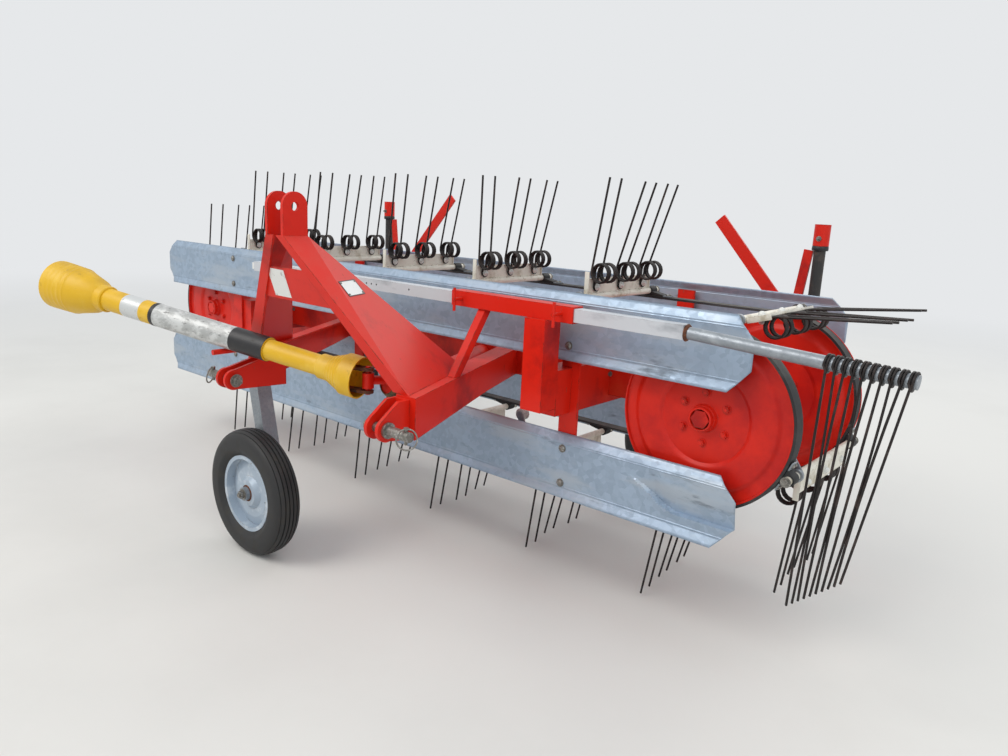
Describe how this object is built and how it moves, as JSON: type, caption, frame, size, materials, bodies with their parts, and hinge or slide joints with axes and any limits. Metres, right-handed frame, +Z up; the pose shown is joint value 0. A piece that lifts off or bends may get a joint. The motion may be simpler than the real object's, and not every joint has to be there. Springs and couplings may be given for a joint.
{
  "type": "belt hay rake",
  "caption": "Three-point mounted belt hay rake with spring tine bars on twin belts, sliding tine deflector, drive shaft and castor wheels.",
  "frame": {"origin": "middle of the whole machine's outline, on the ground", "axes": "+X along the belts to the deflector end, -Y to the tractor, +Z up"},
  "size_m": [3.631, 2.1745, 1.3712],
  "materials": {
    "red_paint": "gloss, scuffed",
    "galvanised_sheet": "spangled zinc",
    "zinc_steel": "zinc plated, worn",
    "galvanised_tube": "hot dip galvanised",
    "belt_rubber": "matt, dusty",
    "tine_wire": "black, rusting",
    "dark_pipe": "dull black",
    "guard_plastic": "dirty yellow",
    "rim_paint": "pale grey, rusty hub",
    "tyre_rubber": "worn ribbed rubber"
  },
  "bodies": {
    "rake": {"main_beam": "red_paint", "cross_arm_left": "red_paint", "cross_arm_right": "red_paint", "draft_beam_right": "red_paint", "draft_arm_left": "red_paint", "mast_leg_right": "red_paint", "mast_leg_left": "red_paint", "mast_web": "red_paint", "hitch_foot_right": "red_paint", "hitch_foot_left": "red_paint", "lower_pin_right": "zinc_steel", "lower_pin_left": "zinc_steel", "sheave_front_left": "red_paint", "sheave_front_right": "red_paint", "sheave_rear_left": "red_paint", "sheave_rear_right": "red_paint", "sheave_shafts": "zinc_steel", "belt_front_runs": "belt_rubber", "belt_front_bends": "belt_rubber", "belt_rear_runs": "belt_rubber", "belt_rear_bends": "belt_rubber", "tine_bars_top": "tine_wire", "tine_bars_right_end": "tine_wire", "tine_bars_bottom": "tine_wire", "tine_bar_left_end": "tine_wire", "follower_levers": "zinc_steel", "sheet_front_upper": "galvanised_sheet", "sheet_front_lower": "galvanised_sheet", "sheet_rear_upper": "galvanised_sheet", "sheet_rear_lower": "galvanised_sheet", "sheet_posts": "red_paint", "deflector_sleeve": "red_paint", "sleeve_clamps": "zinc_steel", "rear_rail": "red_paint", "rear_masts": "dark_pipe", "rear_mast_caps": "red_paint", "gearbox": "red_paint", "shaft_rest": "red_paint"},
    "deflector": {"deflector_bar": "galvanised_tube", "deflector_tines": "tine_wire"},
    "shaft_inner": {"shaft_inner_half": "guard_plastic"},
    "shaft_outer": {"shaft_outer_half": "guard_plastic", "outer_cone": "guard_plastic"},
    "front_leg": {"wheel_leg_front": "galvanised_tube"},
    "front_wheel": {"rim_front": "rim_paint", "tyre_front": "tyre_rubber"},
    "castor_fork_left": {"castor_left": "galvanised_tube"},
    "castor_fork_right": {"castor_right": "galvanised_tube"},
    "castor_wheel_left": {"rim_left": "rim_paint", "tyre_left": "tyre_rubber"},
    "castor_wheel_right": {"rim_right": "rim_paint", "tyre_right": "tyre_rubber"}
  },
  "joints": [
    {"name": "front_wheel_swivel", "type": "hinge", "parent": "rake", "child": "front_leg", "pos_m": [-0.2505, -0.582, 0.69], "axis": [0, 0, 1], "continuous": true},
    {"name": "front_wheel_spin", "type": "hinge", "parent": "front_leg", "child": "front_wheel", "pos_m": [-0.1535, -0.669, 0.228], "axis": [0, 1, 0], "continuous": true},
    {"name": "left_castor_swivel", "type": "hinge", "parent": "rake", "child": "castor_fork_left", "pos_m": [-1.1755, 1.011, 0.7], "axis": [0, 0, 1], "continuous": true},
    {"name": "left_castor_spin", "type": "hinge", "parent": "castor_fork_left", "child": "castor_wheel_left", "pos_m": [-1.2725, 1.011, 0.228], "axis": [0, 1, 0], "continuous": true},
    {"name": "right_castor_swivel", "type": "hinge", "parent": "rake", "child": "castor_fork_right", "pos_m": [0.6845, 1.011, 0.7], "axis": [0, 0, 1], "continuous": true},
    {"name": "right_castor_spin", "type": "hinge", "parent": "castor_fork_right", "child": "castor_wheel_right", "pos_m": [0.5875, 1.011, 0.228], "axis": [0, 1, 0], "continuous": true},
    {"name": "deflector_slide", "type": "slide", "parent": "rake", "child": "deflector", "axis": [1, 0, 0], "range_m": [-0.25, 0.6]},
    {"name": "drive_shaft_swing", "type": "hinge", "parent": "rake", "child": "shaft_inner", "pos_m": [0.3995, -0.614, 0.728], "axis": [0, 0, 1], "range_deg": [0, 72]},
    {"name": "drive_shaft_telescope", "type": "slide", "parent": "shaft_inner", "child": "shaft_outer", "axis": [-0.945, -0.296, 0.139], "range_m": [0, 0.3]}
  ]
}
